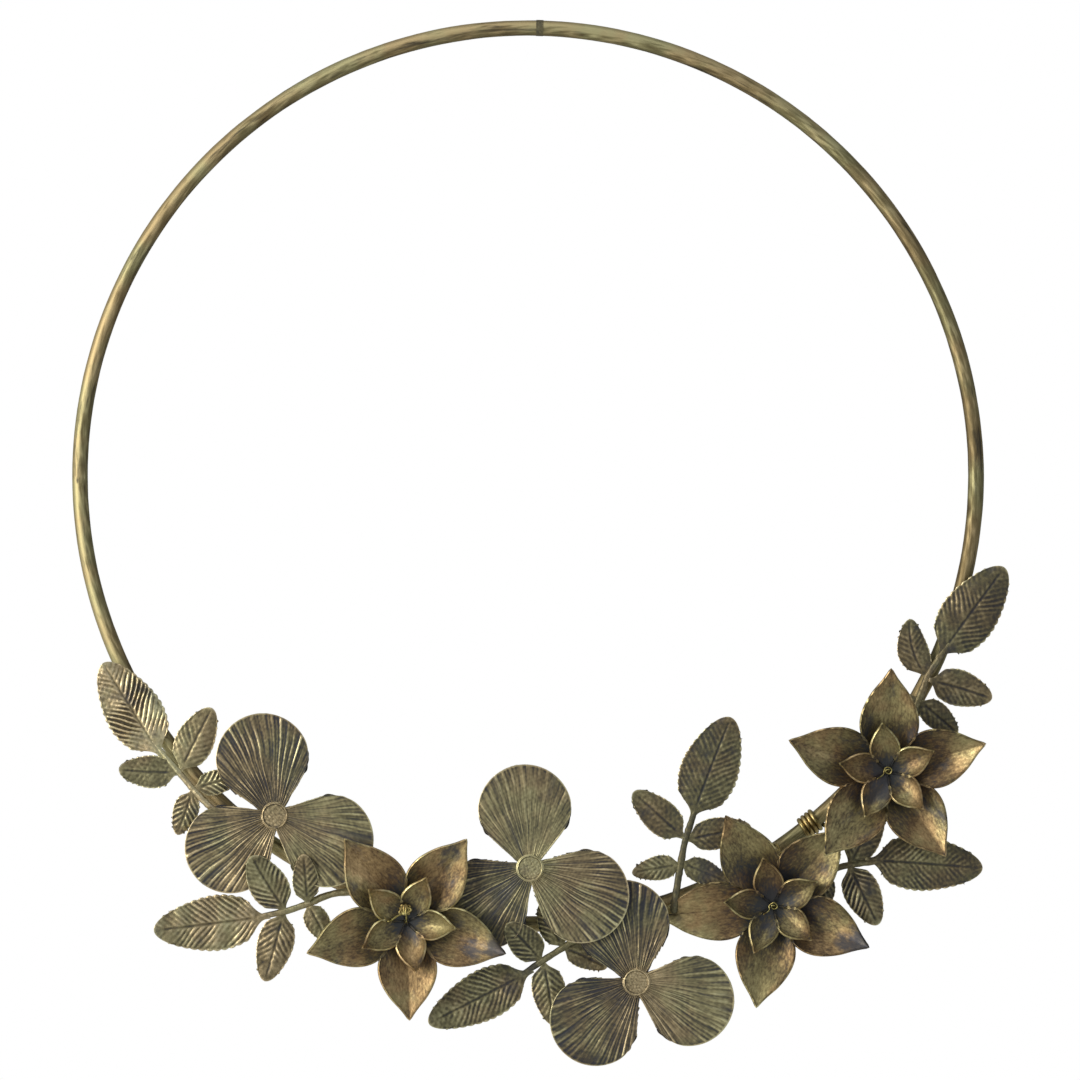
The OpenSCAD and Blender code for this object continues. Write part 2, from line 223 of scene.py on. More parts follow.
def rod(name, stops, radii, count, sides=14, flat=1.0, seed=1, rough=0.0, evenStops=False):
    # a round rod along the stops with rounded ends; radii run evenly from end to end
    line = np.array(stops, float) if evenStops else curveThrough(stops, count)
    count = len(line)
    way = np.gradient(line, axis=0)
    way /= np.linalg.norm(way, axis=1)[:, None]
    side = np.zeros_like(line)
    side[0] = np.cross(way[0], [0.1, 0.2, 1])
    side[0] /= np.linalg.norm(side[0])
    for i in range(1, count):
        side[i] = side[i - 1] - way[i] * (side[i - 1] @ way[i])
        side[i] /= np.linalg.norm(side[i])
    up = np.cross(way, side)
    width = np.interp(np.linspace(0, 1, count), np.linspace(0, 1, len(radii)), radii)
    cap = rodBuild["capRings"]
    steps = np.concatenate([np.zeros(cap), np.arange(count), np.full(cap, count - 1)]).astype(int)
    lean = np.concatenate([np.linspace(-1, -0.1, cap), np.zeros(count), np.linspace(0.1, 1, cap)])

    def shape(u, v):
        i = np.rint(v * (len(steps) - 1)).astype(int)
        s, out = steps[i], lean[i]
        turn = 2 * math.pi * u
        r = width[s] * np.sqrt(np.clip(1 - out ** 2, 0, 1))
        offset = side[s] * (np.cos(turn) * r)[:, None] + up[s] * (np.sin(turn) * r)[:, None]
        offset += way[s] * (out * width[s] * rodBuild["capLength"])[:, None]
        if rough:
            offset *= (1 + rough * lumps(line[s] + offset, seed, rodBuild["bumpSize"]))[:, None]
        offset[:, 2] *= flat
        return line[s] + offset

    piece = shapedGrid(name, sides, len(steps) - 1, shape)
    closeSeams(piece, rodBuild["seam"])
    return piece


def colour(code):
    # sRGB hex to the linear values that a shader takes
    parts = [int(code[i:i + 2], 16) / 255 for i in (1, 3, 5)]
    return [c / 12.92 if c <= 0.04045 else ((c + 0.055) / 1.055) ** 2.4 for c in parts] + [1.0]


def add(tree, kind, settings=None, links=None):
    item = tree.nodes.new(kind)
    for key, value in (settings or {}).items():
        if isinstance(key, str) and hasattr(item, key):
            setattr(item, key, value)
        else:
            item.inputs[key].default_value = value
    for key, source in (links or {}).items():
        tree.links.new(source, item.inputs[key])
    return item


def perMetre(millimetres):
    # how often a pattern of this real size repeats in a metre
    return 1000 / millimetres


# Where the stains and the drift in colour set in, as levels of their noise, and how deep
# the grain is in metres
finish = {"stainFrom": 0.56, "stainTo": 0.66, "driftFrom": 0.42, "driftTo": 0.58, "grainDepth": 0.0001}


def agedBrass(name, look, follows=False):
    # Brass darkened with liver of sulphur, then rubbed back: bright on what stands proud,
    # blue-black to brown in the hollows. Where it follows the surface, its fine marks run
    # the way that the piece was drawn or rubbed.
    material = bpy.data.materials.new(name)
    material.use_nodes = True
    tree = material.node_tree
    tree.nodes.clear()
    place = add(tree, "ShaderNodeTexCoord")
    where = place.outputs["Object"]
    relief = add(tree, "ShaderNodeAttribute", {"attribute_name": "relief"})
    polishAndShade = add(tree, "ShaderNodeAttribute", {"attribute_name": "polishAndShade"})
    marks = where
    if follows:
        marks = add(tree, "ShaderNodeAttribute", {"attribute_name": "flow"}).outputs["Vector"]
    noises = {}
    for key, detail, roughness, vector in (("patch", 4.0, 0.6, where), ("drift", 3.0, 0.6, where),
                                           ("speckle", 3.0, 0.65, marks), ("grain", 2.0, 0.5, marks),
                                           ("bloom", 6.0, 0.62, marks)):
        noises[key] = add(tree, "ShaderNodeTexNoise",
                          {"Scale": perMetre(look[key]), "Detail": detail, "Roughness": roughness},
                          {"Vector": vector}).outputs["Fac"]
    # patches and speckle push the wear up and down evenly
    shares = []
    for key in ("patch", "speckle"):
        mix = look[key + "Mix"]
        shares.append(add(tree, "ShaderNodeMath", {"operation": "MULTIPLY_ADD", 1: mix, 2: -0.5 * mix},
                          {0: noises[key]}).outputs[0])
    share = add(tree, "ShaderNodeMath", {"operation": "ADD"}, {0: shares[0], 1: shares[1]})
    raised = add(tree, "ShaderNodeMapRange", {"From Min": -look["hollow"], "From Max": look["proud"]},
                 {"Value": relief.outputs["Fac"]})
    # relief and the polish attribute set the wear; where that attribute is lowered on the hoop and the flower
    # cups, this paints shade into the colour
    wornAndShaded = add(tree, "ShaderNodeMath", {"operation": "ADD"},
               {0: raised.outputs["Result"], 1: polishAndShade.outputs["Fac"]})
    rubbedAndShaded = add(tree, "ShaderNodeMath", {"operation": "ADD", "use_clamp": True},
                 {0: wornAndShaded.outputs[0], 1: share.outputs[0]})
    ramp = add(tree, "ShaderNodeValToRGB", {}, {"Fac": rubbedAndShaded.outputs[0]})
    bands = ramp.color_ramp.elements
    bands[0].position, bands[0].color = look["bands"][0][0], colour(look["bands"][0][1])
    bands[1].position, bands[1].color = look["bands"][-1][0], colour(look["bands"][-1][1])
    for position, code in look["bands"][1:-1]:
        bands.new(position).color = colour(code)
    # the metal drifts between coppery brown and olive
    drift = add(tree, "ShaderNodeMapRange", {"From Min": finish["driftFrom"], "From Max": finish["driftTo"]},
                {"Value": noises["drift"]})
    tone = add(tree, "ShaderNodeMix",
               {"data_type": "RGBA", 6: colour(look["tones"][0]), 7: colour(look["tones"][1])},
               {0: drift.outputs["Result"]})
    toned = add(tree, "ShaderNodeMix", {"data_type": "RGBA", "blend_type": "MULTIPLY", 0: 1.0},
                {6: ramp.outputs["Color"], 7: tone.outputs[2]})
    # ragged blue-grey stains where the patina is thickest
    stain = add(tree, "ShaderNodeMapRange",
                {"From Min": finish["stainFrom"], "From Max": finish["stainTo"], "To Max": look["bloomMix"]},
                {"Value": noises["bloom"]})
    tinted = add(tree, "ShaderNodeMix", {"data_type": "RGBA", 7: colour(look["bloomColour"])},
                 {0: stain.outputs["Result"], 6: toned.outputs[2]})
    rough = add(tree, "ShaderNodeMapRange", {"From Min": 0.2, "From Max": 0.9, "To Min": look["roughDark"],
                                             "To Max": look["roughBright"]}, {"Value": rubbedAndShaded.outputs[0]})
    metal = add(tree, "ShaderNodeMapRange", {"From Min": 0.1, "From Max": 0.7, "To Min": look["metalDark"],
                                             "To Max": 1.0}, {"Value": rubbedAndShaded.outputs[0]})
    heights = add(tree, "ShaderNodeMath", {"operation": "MULTIPLY_ADD", 1: 0.5},
                  {0: noises["speckle"], 2: noises["grain"]})
    bump = add(tree, "ShaderNodeBump", {"Strength": look["bump"], "Distance": finish["grainDepth"]},
               {"Height": heights.outputs[0]})
    skin = add(tree, "ShaderNodeBsdfPrincipled", {},
               {"Base Color": tinted.outputs[2], "Roughness": rough.outputs["Result"],
                "Metallic": metal.outputs["Result"], "Normal": bump.outputs["Normal"]})
    add(tree, "ShaderNodeOutputMaterial", {}, {"Surface": skin.outputs["BSDF"]})
    return material


# Sizes are in millimetres: patch, speckle, grain, bloom and drift are how wide each mark
# is, hollow and proud how much relief turns the finish fully dark or fully bright.

# Leaves cast in fine sand have a grainy skin that stays dull. Real grit is about 0.1 mm,
# too fine to show, so it is drawn at 0.5.
castLeafLook = {
    "patch": 22, "patchMix": 0.55, "speckle": 1.5, "speckleMix": 0.5, "grain": 0.5,
    "hollow": 0.26, "proud": 0.34,
    "bands": [(0.1, "#37383e"), (0.3, "#545248"), (0.48, "#79735b"), (0.72, "#b0a98a"), (0.95, "#e0d8b6")],
    "bloom": 14, "bloomMix": 0.6, "bloomColour": "#43464e", "drift": 26, "tones": ("#fff3ea", "#fcfff2"),
    "roughDark": 0.62, "roughBright": 0.38, "metalDark": 0.4, "bump": 0.8,
}
# Fan petals are brushed along their ribs after casting, which leaves long scratches. A
# wire brush leaves them about 0.2 mm apart, too fine to show, so they are drawn wider.
castPetalLook = {
    "patch": 26, "patchMix": 0.7, "speckle": 1.1, "speckleMix": 1.05, "grain": 0.5,
    "hollow": 0.14, "proud": 0.2,
    "bands": [(0.1, "#3a3c45"), (0.3, "#5d5b4f"), (0.48, "#867f67"), (0.7, "#b8b08f"), (0.94, "#e4dcb8")],
    "bloom": 7, "bloomMix": 0.6, "bloomColour": "#42454f", "drift": 30, "tones": ("#fff3ea", "#fcfef0"),
    "roughDark": 0.6, "roughBright": 0.4, "metalDark": 0.4, "bump": 0.6,
}
# Turned buttons have the petals' finish, with patina left in deeper hollows
buttonLook = dict(castPetalLook, hollow=0.26)
# Rolled sheet is smooth before it is pressed: a warmer, glossier skin with soft marks
# rubbed out towards the tips. Its rolling lines are too fine to show, and drawn at 0.45 mm.
sheetPetalLook = {
    "patch": 18, "patchMix": 0.8, "speckle": 1.1, "speckleMix": 0.85, "grain": 0.45,
    "hollow": 0.22, "proud": 0.24,
    "bands": [(0.12, "#3f4149"), (0.32, "#685e4b"), (0.5, "#968a6a"), (0.72, "#c0b38c"), (0.95, "#ece2b8")],
    "bloom": 15, "bloomMix": 0.85, "bloomColour": "#4a4c52", "drift": 24, "tones": ("#ffebdc", "#fcfeec"),
    "roughDark": 0.52, "roughBright": 0.36, "metalDark": 0.6, "bump": 0.5,
}
# Drawn wire is the smoothest, and fingers rub it bright
wireLook = {
    "patch": 8, "patchMix": 0.5, "speckle": 1.2, "speckleMix": 0.5, "grain": 0.4,
    "hollow": 0.45, "proud": 0.5,
    "bands": [(0.1, "#3c3a30"), (0.4, "#7a724e"), (0.65, "#aa9f70"), (0.95, "#e4dbac")],
    "bloom": 10, "bloomMix": 0.1, "bloomColour": "#55565c", "drift": 9, "tones": ("#fff0dc", "#fbffe6"),
    "roughDark": 0.5, "roughBright": 0.3, "metalDark": 0.7, "bump": 0.3,
}
# Drawn tube has lines along it and ages to a satin brown. The lines are under 0.1 mm
# apart, too fine to show, so they are drawn at 0.6.
hoopLook = {
    "patch": 30, "patchMix": 0.5, "speckle": 1.2, "speckleMix": 0.6, "grain": 0.6,
    "hollow": 0.12, "proud": 0.12,
    "bands": [(0.12, "#33322f"), (0.34, "#554e3e"), (0.52, "#766d53"), (0.75, "#979070"), (0.95, "#c9c19c")],
    "bloom": 4.5, "bloomMix": 0.8, "bloomColour": "#3a3a38", "drift": 40, "tones": ("#fff0e2", "#fcfef0"),
    "roughDark": 0.66, "roughBright": 0.57, "metalDark": 0.7, "bump": 0.35,
}
castLeafSkin = agedBrass("antiqued cast brass leaf", castLeafLook)
castPetalSkin = agedBrass("antiqued cast brass petal", castPetalLook, follows=True)
buttonSkin = agedBrass("antiqued turned brass button", buttonLook)
sheetPetalSkin = agedBrass("antiqued pressed brass sheet", sheetPetalLook, follows=True)
wireSkin = agedBrass("rubbed brass wire", wireLook)
hoopSkin = agedBrass("aged drawn brass tube", hoopLook, follows=True)
print("finishes made")

hoop = {"stations": 900, "sides": 28, "pit": 0.05, "pitSize": 2.4, "pitCap": 0.4, "wave": 0.06,
        "waveSize": 45, "sink": 0.06, "draw": 9, "polishAndShade": 0.02, "shade": 0.3}


def makeHoop():
    deselect()
    bpy.ops.mesh.primitive_torus_add(major_segments=hoop["stations"], minor_segments=hoop["sides"],
                                     major_radius=ringR, minor_radius=tubeR)
    piece = bpy.context.active_object
    piece.name = "hoopTube"
    points = getPoints(piece)
    middle = points.copy()
    middle[:, 2] = 0
    middle *= (ringR / np.linalg.norm(middle, axis=1))[:, None]
    out = (points - middle) / tubeR
    dent = hoop["pit"] * np.minimum(lumps(points, 11, hoop["pitSize"], 16), hoop["pitCap"])
    dent += hoop["wave"] * lumps(points, 12, hoop["waveSize"])
    setPoints(piece, points + out * (dent - hoop["sink"])[:, None])
    turn = np.arctan2(points[:, 1], points[:, 0])
    outward = (out * middle).sum(1) / ringR
    # the marks are mirrored from side to side of the tube and of the hoop, so they close
    along = np.abs(turn) * ringR / hoop["draw"]
    around = np.arccos(np.clip(outward, -1, 1)) * tubeR
    markFlow(piece, np.stack([along, around, out[:, 2] + np.sign(turn)], axis=1))
    # painted shade: the right-hand outer side, turned away from the key lamp on the left, is darkened
    side = smooth(0.2, 1, np.cos(turn)) * smooth(-0.6, 0.7, outward)
    markPolishAndShade(piece, hoop["polishAndShade"] - hoop["shade"] * side)
    finished(piece, "hoop_tube", hoopSkin, reach=1.5)


makeHoop()
print("hoop made")

# A leaf is x, y, height, length, heading, width and rise of the tip, then how strongly
# the veins stand out, how far the leaf is arched (hollow when negative) and, on one leaf,
# how far it bows sideways. The blade at the end of the stem comes first.
sprays = {
    "spray_far_left": {
        "polishAndShade": 0.14, "blade": 0.36, "stalk": -0.12,
        "stem": [[-143, -175.5, 5.6], [-148.5, -174, 5.8], [-158.5, -168, 5.8], [-168, -158.5, 5.8],
                 [-176.5, -148.5, 5.8], [-185, -138, 6]],
        "leaves": [[-186.3, -138.2, 6, 52, 122, 28, 3, 0.72, 0.12],
                   [-176.5, -149.6, 5.8, 29.5, 177, 16, 0.5, 0.05, -0.1],
                   [-175.2, -148.5, 5.8, 35.5, 63, 19, 2, 0.12, 0.1],
                   [-168, -157.5, 5.8, 25, 16, 12, 0.5, 0.5, 0.1],
                   [-169, -158.5, 5.8, 23.5, 251, 12.4, 0.5, 0.34, 0.12]],
    },
    "spray_left": {
        "polishAndShade": 0.13, "blade": 0.2, "stalk": -0.3,
        "stem": [[-83, -209.5, 5.6], [-95, -210, 5.8], [-103, -212, 5.8], [-111, -215.5, 5.8],
                 [-123, -219.5, 5.8], [-134, -221.5, 6]],
        "leaves": [[-134.3, -222.2, 6, 54.5, 187, 27, 4, 0.3, 0.12],
                   [-122.2, -219.2, 5.8, 34.5, 121, 19, 10.5, 0.36, 0.12],
                   [-122.8, -219.5, 5.8, 36.3, 254.5, 18, 1, 0.2, 0.1],
                   [-111, -215.5, 8, 26.5, 94, 13, 7.5, 0.24, 0.1],
                   [-111, -215.5, 5.8, 23, 300, 12, 0.5, 0.14, 0.1]],
    },
    "spray_low": {
        "polishAndShade": 0.02, "blade": 0.05, "stalk": -0.5,
        "stem": [[40, -222.5, 5.6], [35, -227.5, 5.8], [25.5, -233, 5.8], [18, -237.5, 5.8],
                 [7, -244.5, 5.8], [-3.5, -251, 6]],
        "leaves": [[-1.5, -250.9, 6, 54.5, 207, 24.6, 4, 0.26, 0.12],
                   [7, -244.5, 5.8, 28.5, 132, 16, 11.5, 0.24, 0.1],
                   [7.8, -244.5, 5.8, 32.5, 279.5, 16.6, 0.5, 0.16, 0.1],
                   [18, -237.5, 5.8, 25, 118, 13, 0.5, 0.24, 0.1],
                   [18, -237.5, 5.8, 24, 335, 12, 0.5, 0.2, 0.1]],
    },
    "spray_middle": {
        "polishAndShade": 0.04, "blade": -0.07, "stalk": -0.6,
        "stem": [[73.5, -219, 8.2], [75, -207, 8.4], [77, -195, 8.4], [79.5, -182.5, 8.4], [83, -170, 8.6]],
        "leaves": [[83.8, -169, 8.6, 51, 69, 28.4, 3, 0.13, 0.1],
                   [78.4, -182, 8.4, 34, 138, 17, 0.5, 0.05, -0.06],
                   [79.5, -183.2, 8.4, 33.5, 11, 15.6, 1, 0.1, 0.1],
                   [77, -195.6, 8.4, 25, 190, 12, 0.5, 0.26, 0.12],
                   [77, -194.6, 8.4, 26, 337, 12, 1, 0.1, 0.1]],
    },
    "spray_right": {
        "polishAndShade": 0.02, "blade": -0.05, "stalk": -0.5,
        "stem": [[131, -206.5, 5.6], [137, -204, 5.8], [143.5, -202, 5.8], [150.5, -199.5, 5.8],
                 [161.5, -196, 5.8], [173.5, -193.3, 6]],
        "leaves": [[174.5, -193.7, 6, 54.5, 356, 27, 3, 0.16, 0.12],
                   [161.5, -196, 5.8, 33.5, 296, 18, 1, 0.5, 0.12],
                   [161.5, -196, 5.8, 31.5, 58, 16, 2, 0.2, 0.1],
                   [150.5, -199.5, 5.8, 23, 258, 12, 0.5, 0.2, 0.1],
                   [150.5, -199.5, 5.8, 19.5, 80, 11, 0.5, 0.2, 0.1]],
    },
    "spray_far_right": {
        "polishAndShade": 0, "blade": -0.02, "stalk": -0.42,
        "stem": [[189, -128, 5.6], [192.5, -122.5, 5.8], [197, -112.5, 5.8], [199.5, -106, 5.8],
                 [202, -99.5, 5.8], [208, -89, 6]],
        "leaves": [[209, -88.5, 6, 52.5, 54, 27.6, 3, 0.16, 0.12],
                   [200.2, -101, 5.8, 30, 106, 15.4, 1, 0.1, 0.1, 2.4],
                   [202, -102.7, 5.8, 33, 343.5, 18, 1, 0.14, 0.12],
                   [197, -113.2, 5.8, 25.5, 319, 13, 0.5, 0.14, 0.1],
                   [197, -112.5, 5.8, 19.5, 200, 11, 0.5, 0.14, 0.1]],
    },
}
leafBuild = {"thickness": 1.3, "edge": 0.3, "neck": 1.1, "veinPitch": 3.3, "veinLean": 1.0, "veinHeight": 1.3,
             "midribDepth": 0.32, "rimHeight": 0.45, "stemRadii": [1.9, 1.9, 1.75, 1.9, 1.6, 1.75, 1.5, 1.0],
             "intoBlade": 5}
# The large blade at a stem's end and the small side leaves differ in outline and teeth
bladeForm = {"columns": 150, "rows": 84, "teeth": 15, "toothDepth": 0.05, "flare": (0.03, 0.22),
             "blunt": 0.72, "pointed": 0.2, "neckLength": 4.5, "neckShare": 1.25}
sideForm = {"columns": 92, "rows": 52, "teeth": 11, "toothDepth": 0.028, "flare": (0.0, 0.2),
            "blunt": 0.62, "pointed": 0.12, "neckLength": 0, "neckShare": 1}


def makeLeaf(leaf, form, polishAndShade, seed):
    x, y, z, length, heading, width, rise, vein, arch, bow = (leaf + [0])[:10]
    length += form["neckLength"]
    x -= form["neckLength"] * math.cos(math.radians(heading))
    y -= form["neckLength"] * math.sin(math.radians(heading))
    draw = np.random.default_rng(seed)
    sway = draw.uniform(-0.4, 0.4)
    curl = draw.uniform(-0.6, 1.0)

    def shape(u, v):
        # the square of the grid is first drawn into a circle, so both ends come out round
        gridX, gridY = 2 * u - 1, 2 * v - 1
        roundX = gridX * np.sqrt(1 - gridY ** 2 / 2)
        roundY = gridY * np.sqrt(1 - gridX ** 2 / 2)
        u = (roundX + 1) / 2
        s = np.clip(roundY / np.sqrt(1 - roundX ** 2 + 1e-9), -1, 1)
        blunt = form["blunt"] - form["pointed"] * smooth(0.3, 0.9, u)
        share = np.power(np.clip(np.sin(math.pi * np.power(u, 0.95)), 0, 1), blunt)
        share *= smooth(*form["flare"], u)
        neck = leafBuild["neck"] * form["neckShare"] * (1 - smooth(0.3, 0.9, u))
        tooth = np.abs(np.sin(math.pi * form["teeth"] * u + (s > 0) * 0.9)) - 0.6
        side = smooth(0.1, 0.2, u) * (1 - smooth(0.84, 0.95, u)) * np.abs(s) ** 6
        half = neck + (width / 2 - 0.6 * leafBuild["neck"]) * share
        half *= 1 + form["toothDepth"] * tooth * side
        px = length * u
        py = half * s + (bow + sway) * np.sin(math.pi * u)
        away = np.abs(half * s)
        # slanting side veins, each pair a little uneven
        phase = (px - away * leafBuild["veinLean"]) / leafBuild["veinPitch"] + 0.15 * np.sin(px * 0.4 + seed)
        ridge = np.power(0.5 + 0.5 * np.cos(2 * math.pi * phase), 1.2) - 0.4
        inner = smooth(0.5, 1.6, away) * (1 - smooth(0.86, 0.98, np.abs(s)))
        reachOut = smooth(0.06, 0.16, u) * (1 - 0.75 * smooth(0.68, 0.92, u))
        spot = np.stack([px, py, np.zeros_like(px)], axis=1)
        patchy = np.clip(0.75 + 0.45 * lumps(spot, seed + 13, 20), 0.12, 1.25)
        pz = vein * leafBuild["veinHeight"] * ridge * inner * reachOut * patchy
        midrib = leafBuild["midribDepth"] * np.exp(-(away / 0.7) ** 2)
        pz -= midrib * smooth(0.1, 0.2, u) * (1 - smooth(0.85, 1, u))
        rim = leafBuild["rimHeight"] * np.exp(-((np.abs(s) - 0.97) / 0.05) ** 2)
        rim *= 0.2 + 1.6 * np.clip(tooth, 0, 1)
        pz += rim * smooth(0.12, 0.2, u) * (1 - smooth(0.88, 0.96, u))
        pz -= arch * half * s * s
        pz += curl * (u - 0.3) ** 2 * 1.5
        pz += 0.05 * lumps(spot, seed + 5, 2.6, 14) + 0.16 * lumps(spot, seed + 9, 11)
        return np.stack([px, py, pz], axis=1)

    piece = shapedGrid("leaf", form["columns"], form["rows"], shape)
    thicken(piece, leafBuild["thickness"], leafBuild["edge"])
    markPolishAndShade(piece, polishAndShade + draw.uniform(-0.05, 0.05))
    tilt = Matrix.Rotation(-math.asin(rise / length), 4, "Y")
    piece.data.transform(Matrix.Translation((x, y, z + leafBuild["thickness"] / 2))
                         @ Matrix.Rotation(math.radians(heading), 4, "Z") @ tilt)
    return piece


def makeSpray(node, spray, seed):
    pieces = []
    for number, leaf in enumerate(spray["leaves"]):
        form, polishAndShade = (sideForm, spray["polishAndShade"]) if number else (bladeForm, spray["blade"])
        pieces.append(makeLeaf(leaf, form, polishAndShade, seed + number * 7))
    stem = list(spray["stem"])
    blade = spray["leaves"][0]
    heading = math.radians(blade[4])
    into = leafBuild["intoBlade"]
    stem[-1] = [blade[0] + into * math.cos(heading), blade[1] + into * math.sin(heading), blade[2] + 0.2]
    stalk = rod("stem", stem, leafBuild["stemRadii"], 110, 18, flat=0.8, seed=seed, rough=0.05)
    markPolishAndShade(stalk, spray["stalk"])
    pieces.append(stalk)
    finished(joined(pieces, node + "_casting"), node, castLeafSkin, reach=1.1)


for order, (node, spray) in enumerate(sprays.items()):
    makeSpray(node, spray, 100 + 40 * order)
print("sprays made")

# Each petal is its heading, how far it tilts back, how strongly its ribs stand out, its
# length as a share of the usual, and its polish
trefoils = {
    "trefoil_left": {
        "height": 8.6,
        "petals": [(102, 1, 1.0, 1, 0.03), (216, 1, 1.1, 0.97, 0.1), (335, -1, 0.6, 1.01, 0.08)],
    },
    "trefoil_middle": {
        "height": 17,
        "petals": [(95, 1, 0.5, 1, 0.09), (218, 9, 0.7, 1, -0.1), (332, 2, 1.0, 1.02, 0.14)],
    },
    "trefoil_right": {
        "height": 13.5,
        "petals": [(103, 1, 1.1, 1, -0.06), (223, 2, 1.0, 0.98, -0.08), (341, -1, 0.8, 0.975, 0.12)],
    },
}
fan = {"columns": 184, "rows": 82, "endR": 23.7, "endAt": 28.4, "apex": 2.9, "spread": 43, "plate": 1.6,
       "start": 3.2, "hubR": 7.0, "shoulder": 8.5, "shoulderFrom": 0.74, "ribs": 17, "ribReach": 0.92,
       "ribHeight": 0.5, "ribWidth": 0.023, "rimHeight": 0.22, "dip": 1.0, "edge": 0.25, "hubEdge": 0.4,
       "streak": 9, "streakWide": 34}


def makeFanPetal(heading, tiltBack, ribs, share, polishAndShade, seed):
    draw = np.random.default_rng(seed)
    count = fan["ribs"]
    places = np.linspace(-fan["ribReach"], fan["ribReach"], count) + draw.uniform(-0.02, 0.02, count)
    powers = np.where((np.arange(count) + seed) % 3 == 0, 1.0, 0.5) * draw.uniform(0.7, 1.15, count)

    def shape(u, v):
        # a round end on straight sides that meet at the apex, with rounded shoulders
        a = 1 - 2 * u
        turn = np.radians(fan["spread"] * a)
        middle = fan["endAt"] + fan["apex"]
        bow = np.clip(fan["endR"] ** 2 - (middle * np.sin(turn)) ** 2, 0, None)
        edge = middle * np.cos(turn) + np.sqrt(bow)
        corner = np.clip((np.abs(a) - fan["shoulderFrom"]) / (1 - fan["shoulderFrom"]), 0, 1)
        edge -= fan["shoulder"] * (1 - np.sqrt(1 - corner ** 2))
        edge *= share
        r = fan["start"] + (edge - fan["start"]) * np.power(v, 0.9)
        px = r * np.cos(turn) - fan["apex"]
        py = r * np.sin(turn)
        wander = a + 0.012 * np.sin(r * 0.25 + seed) * (1 - np.abs(a))
        pz = np.zeros_like(px)
        spot = np.stack([px, py, np.zeros_like(px)], axis=1)
        wear = np.clip(0.8 + 0.35 * lumps(spot, seed + 6, 24), 0.2, 1.15)
        for place, power in zip(places, powers):
            wide = fan["ribWidth"] * (0.8 + 0.4 * power)
            pz += fan["ribHeight"] * power * np.exp(-((wander - place) / wide) ** 2)
        pz += 0.06 * np.cos(2 * math.pi * wander * 19 + seed) * smooth(10, 22, r)
        pz *= ribs * wear * smooth(5, 11, r) * (1 - smooth(edge - 1.3, edge - 0.3, r))
        nearSide = np.minimum(edge - r, (fan["spread"] - np.abs(a) * fan["spread"]) * math.pi / 180 * r)
        pz += fan["rimHeight"] * np.exp(-((nearSide - 0.3) / 0.4) ** 2) * smooth(6, 12, r)
        pz += 0.025 * lumps(spot, seed + 3, 2.2, 14) + 0.22 * lumps(spot, seed + 4, 17)
        pz += 0.9 * (r / 50) ** 2 - fan["dip"] * smooth(30, 52, r) * np.abs(a) ** 2
        return np.stack([px, py, pz + fan["plate"]], axis=1)

    piece = shapedGrid("petal", fan["columns"], fan["rows"], shape)
    thicken(piece, fan["plate"] - 0.2, fan["edge"])
    points = getPoints(piece)
    r = np.hypot(points[:, 0] + fan["apex"], points[:, 1])
    turn = np.arctan2(points[:, 1], points[:, 0] + fan["apex"])
    marks = [r / fan["streak"], turn * fan["streakWide"], points[:, 2] + 9 * seed]
    markFlow(piece, np.stack(marks, axis=1))
    markPolishAndShade(piece, polishAndShade)
    piece.data.transform(Matrix.Rotation(math.radians(heading), 4, "Z")
                         @ Matrix.Rotation(math.radians(tiltBack), 4, "Y"))
    return piece


def middleOf(node):
    # the middle of a part, in the face-on millimetre layout
    low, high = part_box(node)
    return faceOn.inverted() @ ((low + high) / 2)


def makeTrefoil(node, trefoil, seed):
    pieces = []
    for number, petal in enumerate(trefoil["petals"]):
        pieces.append(makeFanPetal(*petal, seed + number * 5))
    deselect()
    bpy.ops.mesh.primitive_cylinder_add(vertices=64, radius=fan["hubR"], depth=fan["plate"],
                                        location=(0, 0, fan["plate"] / 2 + 0.2))
    hub = bpy.context.active_object
    bpy.ops.object.transform_apply(location=True, rotation=False, scale=False)
    applied(hub, "BEVEL", width=fan["hubEdge"], segments=3, limit_method="ANGLE")
    markFlow(hub, getPoints(hub))
    pieces.append(hub)
    piece = joined(pieces, node + "_casting")
    hubPlace = middleOf(node + "_button")
    piece.data.transform(Matrix.Translation((hubPlace.x, hubPlace.y, trefoil["height"])))
    finished(piece, node, castPetalSkin, reach=1.0)


# The turned profile runs out from the slightly domed centre over the rounded rim, as a
# share of the radius and a height in millimetres
button = {
    "r": 6.6, "rimR": 5.6, "pit": 0.05, "pitSize": 1.7, "polishAndShade": 0.12, "lift": 0.35,
    "sides": 96, "rings": 84,
    "profile": [(0, 0.72), (0.15, 0.72), (0.3, 0.72), (0.45, 0.71), (0.6, 0.7), (0.7, 0.69), (0.77, 0.68),
                (0.82, 0.7), (0.85, 0.9), (0.88, 1.2), (0.92, 1.32), (0.96, 1.2), (0.985, 0.95), (1, 0.6),
                (1, -0.2)],
}


